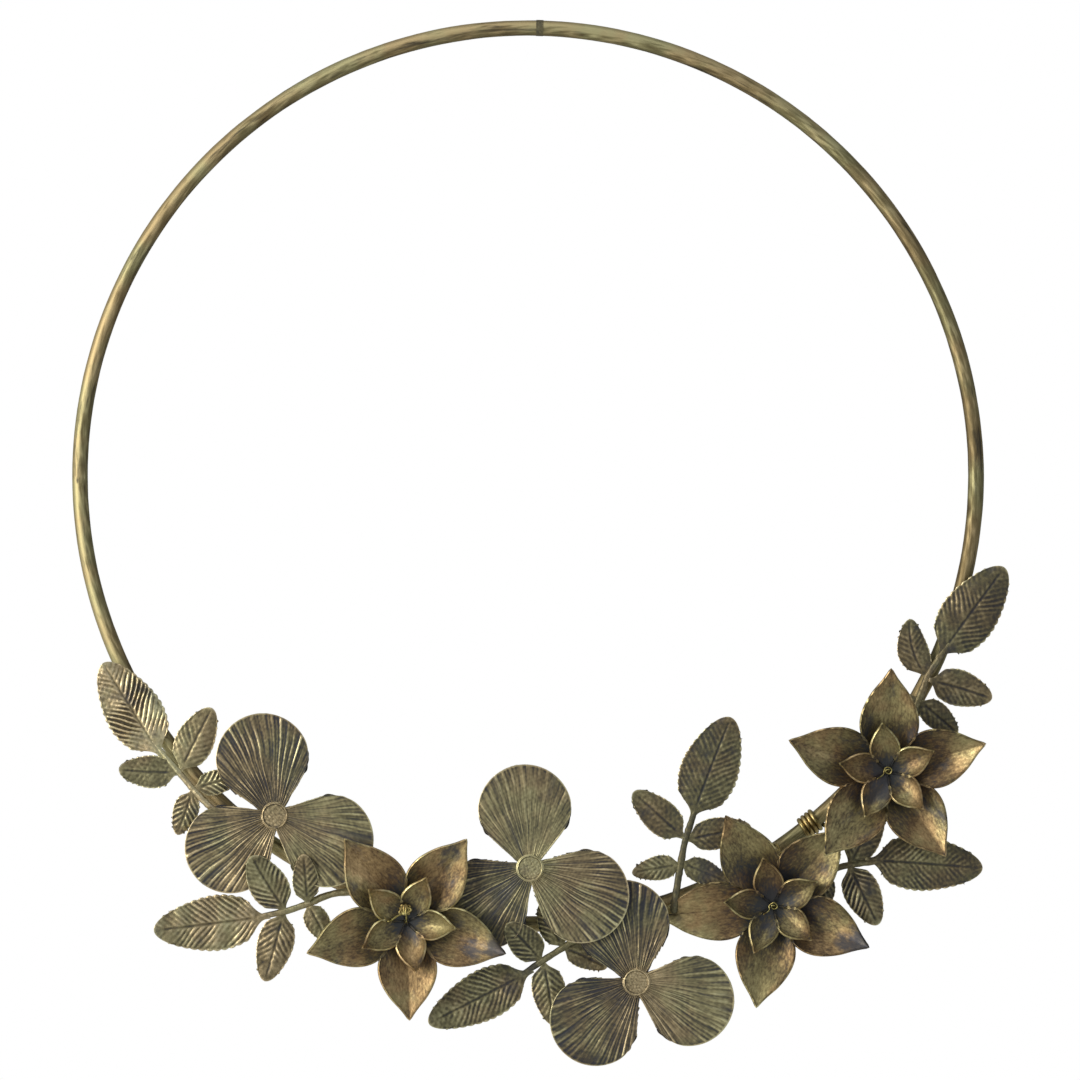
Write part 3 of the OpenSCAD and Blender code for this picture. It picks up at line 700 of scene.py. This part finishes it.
def makeButton(node, height, seed):
    profile = button["profile"]
    outR = np.array([p[0] * button["r"] for p in profile])
    outZ = np.array([p[1] for p in profile])

    def shape(u, v):
        at = v * (len(profile) - 1)
        rr = np.interp(at, np.arange(len(profile)), outR)
        zz = np.interp(at, np.arange(len(profile)), outZ)
        turn = 2 * math.pi * u
        spot = np.stack([rr * np.cos(turn), rr * np.sin(turn), zz], axis=1)
        spot[:, 2] += button["pit"] * lumps(spot, seed, button["pitSize"], 14) * (rr < button["rimR"])
        return spot

    piece = shapedGrid(node + "_turned", button["sides"], button["rings"], shape)
    closeSeams(piece, 0.01)
    bpy.ops.object.mode_set(mode="EDIT")
    bpy.ops.mesh.select_all(action="DESELECT")
    bpy.ops.mesh.select_non_manifold()
    bpy.ops.mesh.edge_face_add()
    bpy.ops.mesh.select_all(action="SELECT")
    bpy.ops.mesh.normals_make_consistent(inside=False)
    bpy.ops.object.mode_set(mode="OBJECT")
    place = middleOf(node)
    piece.data.transform(Matrix.Translation((place.x, place.y, height + fan["plate"] + button["lift"])))
    markPolishAndShade(piece, button["polishAndShade"])
    finished(piece, node, buttonSkin, reach=0.9)


for order, (node, trefoil) in enumerate(trefoils.items()):
    makeTrefoil(node, trefoil, 400 + 30 * order)
    makeButton(node + "_button", trefoil["height"], 480 + order)
print("trefoils made")

# Outer petals are heading, reach, and how far each follows the bowl (flat or bent back
# when negative). A tie is how widely it is looped, its shift right and up, and its share
# of the usual wire.
flowers = {
    "flower_left": {
        "at": (-61.2, -224.3, 13), "star": 66, "polishAndShade": 0.15, "tie": (1, -0.6, 5.4, 1), "knot": True,
        "cup": [(54, 51.6, 1), (126, 51.8, 1), (197, 51.5, 0.9), (272, 48.6, 0.8), (343, 52, 1)],
    },
    "flower_middle": {
        "at": (123.4, -216.4, 9), "star": 30.5, "polishAndShade": 0.08, "tie": (0.6, 0, -0.8, 0.65), "knot": False,
        "cup": [(49, 51.5, 1), (118, 51.5, 1.1), (185, 59.5, -0.25), (260, 51, 0.9), (337, 51.5, 1)],
    },
    "flower_right": {
        "at": (180.6, -148.8, 16), "star": 25.5, "polishAndShade": 0.11, "tie": (0.6, 0, 0, 0.65), "knot": False,
        "cup": [(16.5, 50.5, 0.9), (88.5, 51.7, 1), (162, 52, 1), (232.5, 52, 0.9), (304.5, 50.5, 0.8)],
    },
}
# darkR is how far out from the middle a sheet is darkened: on the cup it is painted shade under the star, on
# the star the blue-grey patina at its middle
cupSheet = {"valley": 13, "bulge": 9.4, "bowl": 110, "crease": 0.27, "cupping": 0.004, "lip": 0.22,
            "lipFrom": (20, 32), "steps": 40, "rings": 48, "darkR": 25}
starSheet = {"valley": 6.5, "bulge": 4.6, "bowl": 30, "crease": 0.32, "cupping": 0.012, "lip": 0.16,
             "lipFrom": (9, 15), "steps": 26, "rings": 34, "darkR": 10}
sheet = {"thickness": 1.0, "eye": 0.4, "edge": 0.22, "gap": 0.4, "lipWidth": 0.45, "ripple": 0.012,
         "warp": 0.2, "streak": 2.2, "dark": 0.55, "starReach": 24.7}


def makeSheet(name, petals, form, polishAndShade, seed):
    steps, total = form["steps"], len(petals)
    outline = []
    for k, (heading, reach, share) in enumerate(petals):
        before = petals[k - 1]
        after = petals[(k + 1) % total]
        halfBefore = (heading - before[0]) % 360 / 2
        halfAfter = (after[0] - heading) % 360 / 2
        for i in range(-steps, steps):
            t = 1 - abs(i) / steps
            half = math.radians(halfBefore if i < 0 else halfAfter)
            other = before if i < 0 else after
            d0, w0 = form["valley"] * math.cos(half), form["valley"] * math.sin(half)
            d = d0 + (reach - d0) * t
            room = d * math.tan(half) - (sheet["gap"] if t > 0 else 0)
            w = min(room, w0 * (1 - t) + form["bulge"] * math.sin(math.pi * t ** 0.8))
            w *= 1 - 0.2 * float(smooth(0.7, 0.97, t))
            side = -w if i < 0 else w
            turn = math.radians(heading)
            outline.append([d * math.cos(turn) - side * math.sin(turn),
                            d * math.sin(turn) + side * math.cos(turn),
                            w, (share + other[2]) / 2 * (1 - t) + share * t])
    outline = np.array(outline + outline[:1])
    around = len(outline) - 1

    def shape(u, v):
        edge = outline[np.rint((1 - u) * around).astype(int)]
        f = 1 - np.power(1 - v, 1.5)
        turn = np.arctan2(edge[:, 1], edge[:, 0])
        px = sheet["eye"] * np.cos(turn) * (1 - f) + edge[:, 0] * f
        py = sheet["eye"] * np.sin(turn) * (1 - f) + edge[:, 1] * f
        r = np.hypot(px, py)
        across = edge[:, 2] * f
        pz = edge[:, 3] * (form["bowl"] - np.sqrt(form["bowl"] ** 2 - r ** 2))
        crease = form["crease"] * np.clip(edge[:, 3], 0.1, 1)
        pz += crease * (np.sqrt(across ** 2 + 0.2) - 0.45) * f + form["cupping"] * across ** 2 * f
        # the cut edge is burnished into a fine raised lip, except in the valleys
        edgeR = np.hypot(edge[:, 0], edge[:, 1])
        pz += form["lip"] * np.exp(-(1 - f) * edgeR / sheet["lipWidth"]) * smooth(*form["lipFrom"], edgeR)
        spot = np.stack([px, py, np.zeros_like(px)], axis=1)
        uneven = sheet["ripple"] * lumps(spot, seed, 4, 14) + sheet["warp"] * lumps(spot, seed + 1, 19)
        pz += uneven * smooth(5, 14, r)
        return np.stack([px, py, pz + sheet["thickness"]], axis=1)

    piece = shapedGrid(name, around, form["rings"], shape)
    closeSeams(piece, 0.005, solid=False)
    thicken(piece, sheet["thickness"], sheet["edge"])
    points = getPoints(piece)
    out = np.hypot(points[:, 0], points[:, 1])
    # darker towards the middle: on the cup this is painted shade where the star shades it, on the star the
    # blue-grey patina at its middle
    markPolishAndShade(piece, polishAndShade - sheet["dark"] * np.exp(-(out / form["darkR"]) ** 2))
    # marks run out along each petal
    headings = np.radians([petal[0] for petal in petals])
    turn = np.arctan2(points[:, 1], points[:, 0])
    nearest = headings[np.argmax(np.cos(turn[:, None] - headings), axis=1)]
    along = points[:, 0] * np.cos(nearest) + points[:, 1] * np.sin(nearest)
    aside = points[:, 1] * np.cos(nearest) - points[:, 0] * np.sin(nearest)
    markFlow(piece, np.stack([along / sheet["streak"], aside, points[:, 2] + 30 * nearest], axis=1))
    return piece


# The tie wire is looped in front, passes back through the eye and is clinched behind
tieWire = {
    "r": 0.55, "slack": 0.35,
    "tail": [[-8.6, -5.2, 5.4], [-6.4, -4, 4], [-4.2, -2.6, 3]],
    "loops": [[-3.2, -0.6, 2.4], [-3.2, 1.8, 2.2], [-1.6, 3.4, 2.6], [0.8, 3.8, 3], [2.8, 2.6, 3.2],
              [3, 0.4, 3], [1.4, -1.2, 2.6], [-0.8, -1, 2.8], [-2, 0.6, 3.4], [-1, 2.2, 4],
              [0.8, 2.2, 3.8], [1.2, 1, 2.8]],
    "end": [[0.5, 0.3, 1.4], [0, 0, 0], [0, 0, -1.6], [0, 0, -3.2], [1.6, 0.9, -3.9], [3.4, 1.8, -3.7]],
}


def tangle():
    # a small hard knot: the wire crosses over itself many times
    return [[3.3 * math.cos(2.2 * k) * (0.55 + 0.45 * math.sin(1.3 * k)), 1 + 2.5 * math.sin(2.2 * k),
             3.4 + 0.9 * math.sin(1.7 * k)] for k in range(22)]


def makeFlower(name, flower, order):
    x, y, z = flower["at"]
    cup = makeSheet(name + "_cup_pressed", flower["cup"], cupSheet, flower["polishAndShade"], 600 + order)
    cup.data.transform(Matrix.Translation((x, y, z)))
    finished(cup, name + "_cup", sheetPetalSkin, reach=1.0)
    starPetals = [(flower["star"] + 72 * k, sheet["starReach"], 1) for k in range(5)]
    star = makeSheet(name + "_star_pressed", starPetals, starSheet, flower["polishAndShade"], 640 + order)
    star.data.transform(Matrix.Translation((x, y, z + sheet["thickness"])))
    finished(star, name + "_star", sheetPetalSkin, reach=0.8)
    spread, right, up, wire = flower["tie"]
    draw = np.random.default_rng(690 + order)
    stops = []
    front = tangle() if flower["knot"] else tieWire["loops"]
    for px, py, pz in tieWire["tail"] + front + tieWire["end"]:
        # only what stands in front is shifted and slack
        lift = max(0, min(1, pz / 1.4))
        slack = draw.uniform(-tieWire["slack"], tieWire["slack"], 3) * (pz > 2) * wire
        stops.append([px * spread + right * lift + slack[0],
                      py * spread + up * lift + slack[1], pz + slack[2]])
    radii = [tieWire["r"] * wire] * 2
    tie = rod(name + "_tie_wire", stops, radii, 10 * len(stops), 12, seed=700 + order, rough=0.03)
    tie.data.transform(Matrix.Translation((x, y, z + 2 * sheet["thickness"])))
    finished(tie, name + "_tie", wireSkin, reach=0.5)


for order, (name, flower) in enumerate(flowers.items()):
    makeFlower(name, flower, order)
print("flowers made")

# Where the binding sits is an angle round the hoop. Its tail climbs through the stops
# and ends in a small curl that faces the viewer.
binding = {"at": 309.1, "r": 1.1, "turns": 4, "perTurn": 28, "pitch": 2.38,
           "tailAt": 303.6, "tailR": 0.55, "curlR": 1.3, "curlAt": (-1.5, 14.4),
           "tailStops": [[0.4, 2.2, 3.2], [0.8, 3.2, 6], [1.2, 3.4, 9.5], [1.5, 2.6, 12.4], [1.5, 0.8, 13.8]]}


def makeBinding():
    line = []
    for i in range(binding["turns"] * binding["perTurn"] + 1):
        turns = i / binding["perTurn"]
        wind = 2 * math.pi * turns
        a = math.radians(binding["at"]) + (turns - binding["turns"] / 2) * binding["pitch"] / ringR
        out = ringR + (tubeR + binding["r"]) * math.cos(wind)
        line.append([out * math.cos(a), out * math.sin(a), (tubeR + binding["r"]) * math.sin(wind)])
    radii = [binding["r"]] * 2
    coil = rod("binding_coil_wire", line, radii, len(line), 14, seed=720, rough=0.02, evenStops=True)
    finished(coil, "binding_coil", wireSkin, reach=0.8)
    stops = list(binding["tailStops"])
    up, forwards = binding["curlAt"]
    for i in range(11):
        a = math.radians(30 + 30 * i)
        stops.append([binding["curlR"] * math.cos(a), up + binding["curlR"] * math.sin(a),
                      forwards + 0.1 * i])
    tail = rod("binding_tail_wire", stops, [binding["tailR"]] * 2, 90, 12, seed=730)
    a = math.radians(binding["tailAt"])
    tail.data.transform(Matrix.Translation((ringR * math.cos(a), ringR * math.sin(a), 0))
                        @ Matrix.Rotation(a - math.radians(270), 4, "Z"))
    finished(tail, "binding_tail", wireSkin, reach=0.5)


makeBinding()
print("binding made")

# Posts, brazes, the weld and the dowel are used as they are
for node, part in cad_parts.items():
    if node.endswith(("_post", "_posts", "_braze", "_weld", "_dowel")):
        part.data.materials.clear()
        part.data.materials.append(castLeafSkin)

# The studio is in metres. A lamp is its name, its place from the middle of the view, its
# size, its power and its colour.
studio = {
    "frameWidth": 0.5448, "away": 4.0, "middle": (0.00605, -0.0323), "floor": -0.62, "floorSize": 2.4,
    "glow": 0.3, "sensor": 36,
    "lamps": [("key", (-1.6, -1.15, 0.25), 1.1, 24, "#fff8ee"),
              ("fill", (1.5, -1.7, -0.1), 1.4, 4, "#f2f5ff"),
              ("top", (-0.3, -0.8, 1.5), 1.2, 5, "#ffffff")],
}


def makeStudio():
    deselect()
    bpy.ops.mesh.primitive_plane_add(size=studio["floorSize"], location=(0, -0.1, studio["floor"]))
    floor = bpy.context.active_object
    floor.name = "floor"
    pale = bpy.data.materials.new("pale studio floor")
    pale.use_nodes = True
    skin = pale.node_tree.nodes["Principled BSDF"]
    skin.inputs["Base Color"].default_value = colour("#eeeeec")
    skin.inputs["Roughness"].default_value = 0.8
    floor.data.materials.append(pale)

    world = bpy.data.worlds.new("studio")
    bpy.context.scene.world = world
    world.use_nodes = True
    tree = world.node_tree
    tree.nodes.clear()
    ray = add(tree, "ShaderNodeLightPath")
    seen = add(tree, "ShaderNodeBackground", {"Color": (1, 1, 1, 1), "Strength": 1.0})
    glow = add(tree, "ShaderNodeBackground", {"Color": (0.93, 0.96, 1, 1), "Strength": studio["glow"]})
    mixed = add(tree, "ShaderNodeMixShader", {}, {0: ray.outputs["Is Camera Ray"], 1: glow.outputs[0],
                                                  2: seen.outputs[0]})
    add(tree, "ShaderNodeOutputWorld", {}, {"Surface": mixed.outputs[0]})

    middle = Vector((ringMiddle.x + studio["middle"][0], 0, ringMiddle.z + studio["middle"][1]))
    for name, place, size, power, tint in studio["lamps"]:
        bpy.ops.object.light_add(type="AREA", location=middle + Vector(place))
        lamp = bpy.context.active_object
        lamp.name = name
        lamp.data.size = size
        lamp.data.energy = power
        lamp.data.color = colour(tint)[:3]
        lamp.rotation_euler = (middle - lamp.location).to_track_quat("-Z", "Y").to_euler()

    bpy.ops.object.camera_add(location=middle + Vector((0, -studio["away"], 0)), rotation=(math.pi / 2, 0, 0))
    camera = bpy.context.active_object
    camera.data.sensor_width = studio["sensor"]
    camera.data.lens = studio["sensor"] * studio["away"] / studio["frameWidth"]
    bpy.context.scene.camera = camera
    bpy.context.scene.view_settings.view_transform = "Standard"


makeStudio()

print("studio made")
